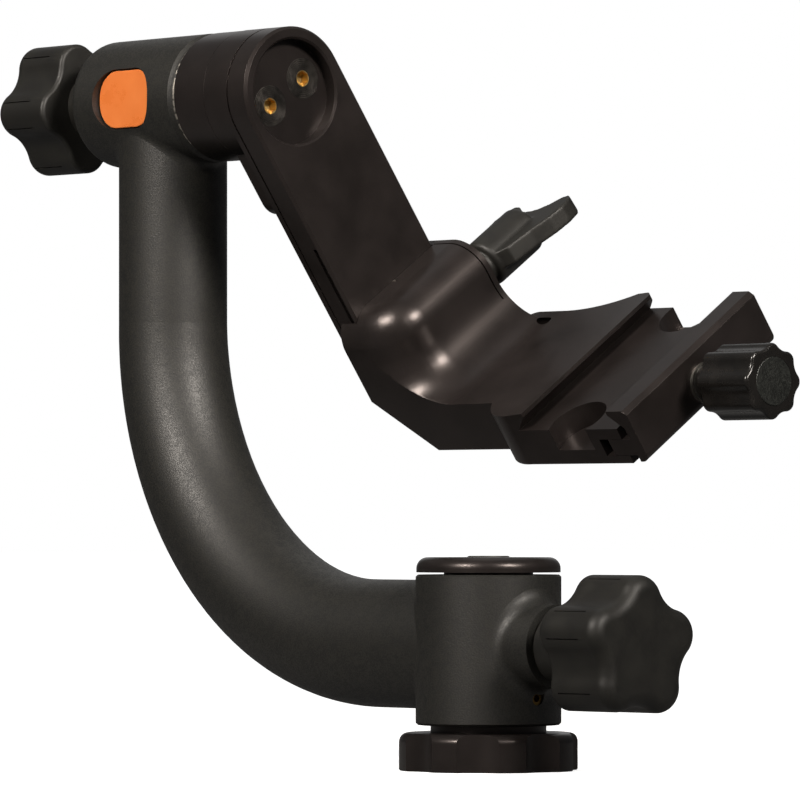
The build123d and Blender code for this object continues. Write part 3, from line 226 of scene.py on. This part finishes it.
def mergedCopy(name, suffix, flatLimit):
    shape = bmesh.new()
    shape.from_mesh(nodes[name].data)
    bmesh.ops.remove_doubles(shape, verts=shape.verts[:], dist=mergeDistance)
    if flatLimit:
        bmesh.ops.dissolve_limit(shape, angle_limit=flatLimit, verts=shape.verts[:],
                                 edges=shape.edges[:])
    mesh = bpy.data.meshes.new(name + suffix)
    shape.to_mesh(mesh)
    shape.free()
    mesh.materials.append(paints[slotOf[name]][0])
    piece = bpy.data.objects.new(name + suffix, mesh)
    bpy.context.collection.objects.link(piece)
    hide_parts(name)
    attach(piece, bodyOf[name])
    return piece


# machined edges broken by hand: flat faces are joined again, then every sharp edge is rounded
brokenEdges = {"widths": {"moving_jaw": 0.35, "clamp_platform": 0.35, "swing_arm": 0.3},
               "flat": 0.03, "sharp": 32.0, "segments": 2, "flatness": 80}
for name, width in brokenEdges["widths"].items():
    piece = mergedCopy(name, "_soft", math.radians(brokenEdges["flat"]))
    piece.data.shade_smooth()
    bevel = piece.modifiers.new("broken", "BEVEL")
    bevel.width = width * mm
    bevel.segments = brokenEdges["segments"]
    bevel.limit_method = "ANGLE"
    bevel.angle_limit = math.radians(brokenEdges["sharp"])
    bevel.miter_outer = "MITER_ARC"
    even = piece.modifiers.new("even", "WEIGHTED_NORMAL")
    even.mode = "FACE_AREA_WITH_ANGLE"
    even.weight = brokenEdges["flatness"]
print("broken edges", len(brokenEdges["widths"]))

# the wing knob's wings flow into its barrel in one moulded skin
wingSkin = {"voxel": 0.33, "smooth": 0.5, "passes": 10}
piece = mergedCopy("wing_knob", "_skin", 0)
skin = piece.modifiers.new("skin", "REMESH")
skin.mode = "VOXEL"
skin.voxel_size = wingSkin["voxel"] * mm
skin.use_smooth_shade = True
flow = piece.modifiers.new("flow", "SMOOTH")
flow.factor = wingSkin["smooth"]
flow.iterations = wingSkin["passes"]
print("wing knob")

# pale floor: seen as white, with the object's cast shadow kept near its foot over a painted shade, where
# the floor's glow is dimmed close to the foot
floorLook = {"halfWidth": 12.0, "paint": "#E8E8E8", "shadowDepth": 0.22, "near": 0.25, "far": 0.9,
             "bounce": 0.12, "mirrored": 0.05}
floorMesh = bpy.data.meshes.new("floor")
shape = bmesh.new()
bmesh.ops.create_grid(shape, x_segments=1, y_segments=1, size=floorLook["halfWidth"])
shape.to_mesh(floorMesh)
shape.free()
floor = bpy.data.objects.new("floor", floorMesh)
bpy.context.collection.objects.link(floor)
floorPaint = bpy.data.materials.new("paleFloorPaint")
floorPaint.use_nodes = True
tree = floorPaint.node_tree
tree.nodes.remove(tree.nodes["Principled BSDF"])
ray = addNode(tree, "ShaderNodeLightPath", {}, {}).outputs
seen = addNode(tree, "ShaderNodeMath", {"operation": "MAXIMUM"},
               {0: ray["Is Camera Ray"], 1: ray["Is Transmission Ray"]})
seen = addNode(tree, "ShaderNodeMath", {"operation": "MULTIPLY_ADD", 1: floorLook["mirrored"]},
               {0: ray["Is Glossy Ray"], 2: seen.outputs[0]})
place = addNode(tree, "ShaderNodeTexCoord", {}, {}).outputs["Object"]
reach = addNode(tree, "ShaderNodeVectorMath", {"operation": "LENGTH"}, {"Vector": place}).outputs["Value"]
# painted shade: the floor's glow is dimmed by shadowDepth inside near of the foot and rises to full white
# at far
glowWithPaintedShade = addNode(tree, "ShaderNodeMapRange", {
    "From Min": floorLook["near"], "From Max": floorLook["far"],
    "To Min": 1 - floorLook["shadowDepth"], "To Max": 1.0}, {"Value": reach})
shown = addNode(tree, "ShaderNodeEmission", {"Color": white}, {"Strength": glowWithPaintedShade.outputs["Result"]})
bright = addNode(tree, "ShaderNodeBsdfDiffuse", {"Color": linear(floorLook["paint"])}, {})
lit = addNode(tree, "ShaderNodeAddShader", {}, {0: shown.outputs[0], 1: bright.outputs[0]})
dull = addNode(tree, "ShaderNodeBsdfDiffuse", {"Color": [floorLook["bounce"]] * 3 + [1.0]}, {})
both = addNode(tree, "ShaderNodeMixShader", {},
               {0: seen.outputs[0], 1: dull.outputs[0], 2: lit.outputs[0]})
tree.links.new(both.outputs[0], tree.nodes["Material Output"].inputs["Surface"])
floorMesh.materials.append(floorPaint)
print("floor")

# white backdrop behind the object, which reaches up over it as a strip, and a dim room round the rest
room = {"below": 0.02, "level": 0.05, "above": 0.16, "strip": 0.5, "inner": 0.12, "outer": 0.42,
        "blend": 0.1}
world = bpy.data.worlds.new("studio")
bpy.context.scene.world = world
world.use_nodes = True
tree = world.node_tree
background = tree.nodes["Background"]
ray = addNode(tree, "ShaderNodeLightPath", {}, {}).outputs
ways = addNode(tree, "ShaderNodeTexCoord", {}, {}).outputs["Generated"]
toward = addNode(tree, "ShaderNodeVectorMath", {"operation": "DOT_PRODUCT", 1: towardCamera}, {0: ways})
behind = addNode(tree, "ShaderNodeMapRange", {"From Min": room["blend"], "From Max": -room["blend"]},
                 {"Value": toward.outputs["Value"]})
aside = addNode(tree, "ShaderNodeVectorMath", {"operation": "DOT_PRODUCT", 1: acrossView}, {0: ways})
aside = addNode(tree, "ShaderNodeMath", {"operation": "ABSOLUTE"}, {0: aside.outputs["Value"]})
strip = addNode(tree, "ShaderNodeMapRange", {
    "interpolation_type": "SMOOTHSTEP", "From Min": room["outer"], "From Max": room["inner"],
    "To Min": 0.0, "To Max": room["strip"]}, {"Value": aside.outputs[0]})
strip = addNode(tree, "ShaderNodeMath", {"operation": "MULTIPLY"},
                {0: strip.outputs["Result"], 1: behind.outputs["Result"]})
height = addNode(tree, "ShaderNodeSeparateXYZ", {}, {"Vector": ways}).outputs["Z"]
upper = addNode(tree, "ShaderNodeMapRange", {
    "From Min": 0.0, "From Max": 1.0, "To Min": room["level"], "To Max": room["above"]}, {"Value": height})
lower = addNode(tree, "ShaderNodeMapRange", {
    "From Min": -room["blend"], "From Max": 0.0,
    "To Min": room["below"] - room["level"], "To Max": 0.0}, {"Value": height})
strength = addNode(tree, "ShaderNodeMath", {"operation": "ADD"},
                   {0: upper.outputs["Result"], 1: lower.outputs["Result"]})
for share in (strip.outputs[0], ray["Is Camera Ray"], ray["Is Transmission Ray"]):
    strength = addNode(tree, "ShaderNodeMath", {"operation": "MAXIMUM"}, {0: strength.outputs[0], 1: share})
tree.links.new(strength.outputs[0], background.inputs["Strength"])
background.inputs["Color"].default_value = white
print("backdrop")

# two gridded softboxes either side of the camera; angles are off the camera's, sizes in metres
softbox = {"height": 28.0, "distance": 1.3, "width": 0.42, "tall": 0.26, "power": 0.85,
           "colour": "#FFF7EE", "grid": 32.0, "aim": Vector((-0.06, 0.0, 0.19))}
lift = math.radians(softbox["height"])
for name, azimuth in {"leftSoftbox": -40.0, "rightSoftbox": 38.0}.items():
    data = bpy.data.lights.new(name, "AREA")
    data.shape = "RECTANGLE"
    data.size = softbox["width"]
    data.size_y = softbox["tall"]
    data.energy = softbox["power"]
    data.spread = math.radians(softbox["grid"])  # the grid keeps the light on the upper half
    data.color = linear(softbox["colour"])[:3]
    turn = cameraAzimuth + math.radians(azimuth)
    out = Vector((math.sin(turn) * math.cos(lift), -math.cos(turn) * math.cos(lift), math.sin(lift)))
    lamp = bpy.data.objects.new(name, data)
    lamp.location = softbox["aim"] + out * softbox["distance"]
    lamp.rotation_euler = (-out).to_track_quat("-Z", "Y").to_euler()
    bpy.context.collection.objects.link(lamp)

view = {"distance": 1.7541, "height": 0.0672, "lens": 284.4, "sensor": 36.0, "reach": 20.0,
        "shiftX": -0.1106, "shiftY": 0.16}
lens = bpy.data.cameras.new("camera")
lens.lens = view["lens"]
lens.sensor_width = view["sensor"]
lens.shift_x = view["shiftX"]
lens.shift_y = view["shiftY"]
lens.clip_end = view["reach"]
camera = bpy.data.objects.new("camera", lens)
camera.location = towardCamera * view["distance"] + Vector((0, 0, view["height"]))
camera.rotation_euler = (math.pi / 2, 0, cameraAzimuth)
bpy.context.collection.objects.link(camera)
bpy.context.scene.camera = camera
bpy.context.scene.view_settings.view_transform = "Standard"
print("stage done")
